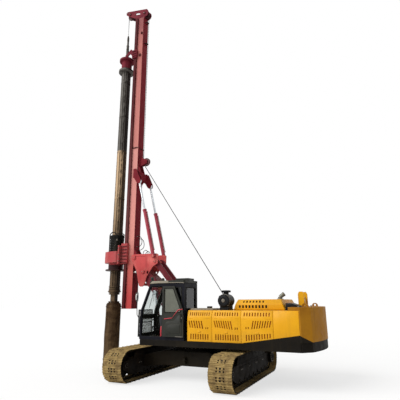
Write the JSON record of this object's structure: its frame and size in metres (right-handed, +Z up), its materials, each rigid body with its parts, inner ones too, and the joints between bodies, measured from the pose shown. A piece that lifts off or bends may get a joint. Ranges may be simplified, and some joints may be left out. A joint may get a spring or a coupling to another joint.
{
  "type": "crawler rotary drilling rig",
  "caption": "Crawler rotary drilling rig: slewing upper with cab, upright mast on a boom linkage, tilting cylinders, rotary head, kelly bar and drilling bucket.",
  "frame": {"origin": "on the ground under the slewing axis", "axes": "+X to the upper structure's front, where the mast stands, +Y to its left, the cab's side, +Z up"},
  "size_m": [8.315, 4.7966, 15.99],
  "materials": {
    "machine_yellow": "semi-gloss",
    "mast_red": "semi-gloss",
    "dark_red": "satin, greasy",
    "frame_black": "satin",
    "cab_black": "satin",
    "track_mud": "dried mud over steel",
    "track_dark": "worn",
    "weight_yellow": "semi-gloss",
    "weight_black": "satin",
    "engine": "cast",
    "tank_yellow": "semi-gloss",
    "rod_chrome": "polished",
    "kelly_steel": "dark, dusty",
    "tool_rust": "rusty",
    "buffer_rubber": "matt",
    "glazing": "clear, dusty",
    "seat_fabric": "woven",
    "console_plastic": "textured",
    "canister_black": "semi-gloss",
    "sheave_steel": "worn",
    "pipe_grey": "heat-stained"
  },
  "bodies": {
    "undercarriage": {"car_body": "frame_black", "track_frames": "track_dark", "track_loop_front": "track_mud", "track_loop_rear": "track_mud", "track_rollers": "track_dark", "track_wheels": "track_dark"},
    "upper": {"main_frame": "frame_black", "boom_foot": "frame_black", "left_panels": "machine_yellow", "right_panels": "machine_yellow", "bay_frame": "frame_black", "bay_covers": "machine_yellow", "engine_hood": "machine_yellow", "engine_block": "engine", "counterweight": "weight_yellow", "counterweight_base": "weight_black", "mast_rest": "machine_yellow", "air_cleaner": "canister_black", "exhaust": "pipe_grey", "fuel_tank": "tank_yellow", "hydraulic_tank": "tank_yellow", "winch_frame": "frame_black", "cab_floor": "cab_black", "cab_left_wall": "cab_black", "cab_right_wall": "cab_black", "cab_front": "cab_black", "cab_rear": "cab_black", "cab_roof": "cab_black", "cab_glass": "glazing", "cab_guard": "cab_black", "cab_seat": "seat_fabric", "cab_consoles": "console_plastic", "cab_mirror": "console_plastic"},
    "winch_drum": {"winch_drum": "track_dark"},
    "cab_door": {"cab_door": "cab_black", "cab_door_glass": "glazing"},
    "boom": {"boom": "dark_red"},
    "boom_links": {"boom_links": "dark_red"},
    "luff_barrels": {"luff_barrels": "mast_red"},
    "luff_rods": {"luff_rods": "rod_chrome"},
    "cradle": {"mast_cradle": "mast_red"},
    "tilt_barrels": {"tilt_barrels": "mast_red"},
    "tilt_rods": {"tilt_rods": "rod_chrome"},
    "mast": {"mast_lower": "mast_red", "mast_upper": "mast_red", "mast_rails": "dark_red", "crowd_barrel": "mast_red", "crown": "mast_red"},
    "crown_sheave_front": {"crown_sheave_front": "sheave_steel"},
    "crown_sheave_rear": {"crown_sheave_rear": "sheave_steel"},
    "back_sheave": {"back_sheave": "sheave_steel"},
    "head": {"rotary_head": "mast_red", "head_motors": "mast_red", "head_damper": "buffer_rubber", "crowd_rod": "rod_chrome"},
    "kelly_guide": {"kelly_guide": "mast_red", "rope_swivel": "kelly_steel"},
    "kelly": {"kelly_bar": "kelly_steel", "kelly_core": "kelly_steel", "drill_tool": "tool_rust"}
  },
  "joints": [
    {"name": "slew", "type": "hinge", "parent": "undercarriage", "child": "upper", "pos_m": [0, 0, 1], "axis": [0, 0, 1], "continuous": true},
    {"name": "winch_spin", "type": "hinge", "parent": "upper", "child": "winch_drum", "pos_m": [-1.25, 0, 1.8], "axis": [0, 1, 0], "continuous": true},
    {"name": "cab_door_hinge", "type": "hinge", "parent": "upper", "child": "cab_door", "pos_m": [0.56, 1.475, 2.1], "axis": [0, 0, 1], "range_deg": [-180, 0]},
    {"name": "boom_luff", "type": "hinge", "parent": "upper", "child": "boom", "pos_m": [0.87, 0, 2], "axis": [0, 1, 0], "range_deg": [-6, 28]},
    {"name": "link_swing", "type": "hinge", "parent": "upper", "child": "boom_links", "pos_m": [0.36, 0, 2.36], "axis": [0, 1, 0], "range_deg": [-6, 28]},
    {"name": "cradle_level", "type": "hinge", "parent": "boom", "child": "cradle", "pos_m": [2.13, 0, 3.5], "axis": [0, 1, 0], "range_deg": [-28, 6]},
    {"name": "luff_swing", "type": "hinge", "parent": "upper", "child": "luff_barrels", "pos_m": [1.29, 0, 1.34], "axis": [0, 1, 0], "range_deg": [-5, 19]},
    {"name": "luff_slide", "type": "slide", "parent": "luff_barrels", "child": "luff_rods", "axis": [0.1894, 0, 0.9819], "range_m": [-0.31, 0.08]},
    {"name": "mast_tilt", "type": "hinge", "parent": "cradle", "child": "mast", "pos_m": [2.56, 0, 4.06], "axis": [0, -1, 0], "range_deg": [-5, 93.5]},
    {"name": "tilt_swing", "type": "hinge", "parent": "cradle", "child": "tilt_barrels", "pos_m": [1.64, 0, 4.05], "axis": [0, -1, 0], "range_deg": [-8, 114]},
    {"name": "tilt_slide", "type": "slide", "parent": "tilt_barrels", "child": "tilt_rods", "axis": [0.2418, 0, 0.9703], "range_m": [-1.03, 0.07]},
    {"name": "head_feed", "type": "slide", "parent": "mast", "child": "head", "axis": [0, 0, 1], "range_m": [-0.7, 2.5]},
    {"name": "kelly_hoist", "type": "slide", "parent": "mast", "child": "kelly_guide", "axis": [0, 0, 1], "range_m": [-7, 0.7]},
    {"name": "kelly_spin", "type": "hinge", "parent": "kelly_guide", "child": "kelly", "pos_m": [3.65, 0, 13.2], "axis": [0, 0, 1], "continuous": true},
    {"name": "crown_front_spin", "type": "hinge", "parent": "mast", "child": "crown_sheave_front", "pos_m": [3.48, 0, 15.77], "axis": [0, 1, 0], "continuous": true},
    {"name": "crown_rear_spin", "type": "hinge", "parent": "mast", "child": "crown_sheave_rear", "pos_m": [2.67, 0, 15.56], "axis": [0, 1, 0], "continuous": true},
    {"name": "back_sheave_spin", "type": "hinge", "parent": "mast", "child": "back_sheave", "pos_m": [2.36, 0, 8.05], "axis": [0, 1, 0], "continuous": true}
  ],
  "couplings": [
    {"joint": "link_swing", "follows": "boom_luff", "ratio": 1},
    {"joint": "cradle_level", "follows": "boom_luff", "ratio": -1},
    {"joint": "luff_swing", "follows": "boom_luff", "ratio": 0.62},
    {"joint": "luff_slide", "follows": "boom_luff", "m_per_rad": -0.6},
    {"joint": "tilt_swing", "follows": "mast_tilt", "ratio": 1.209},
    {"joint": "tilt_slide", "follows": "mast_tilt", "m_per_rad": -0.6207}
  ]
}
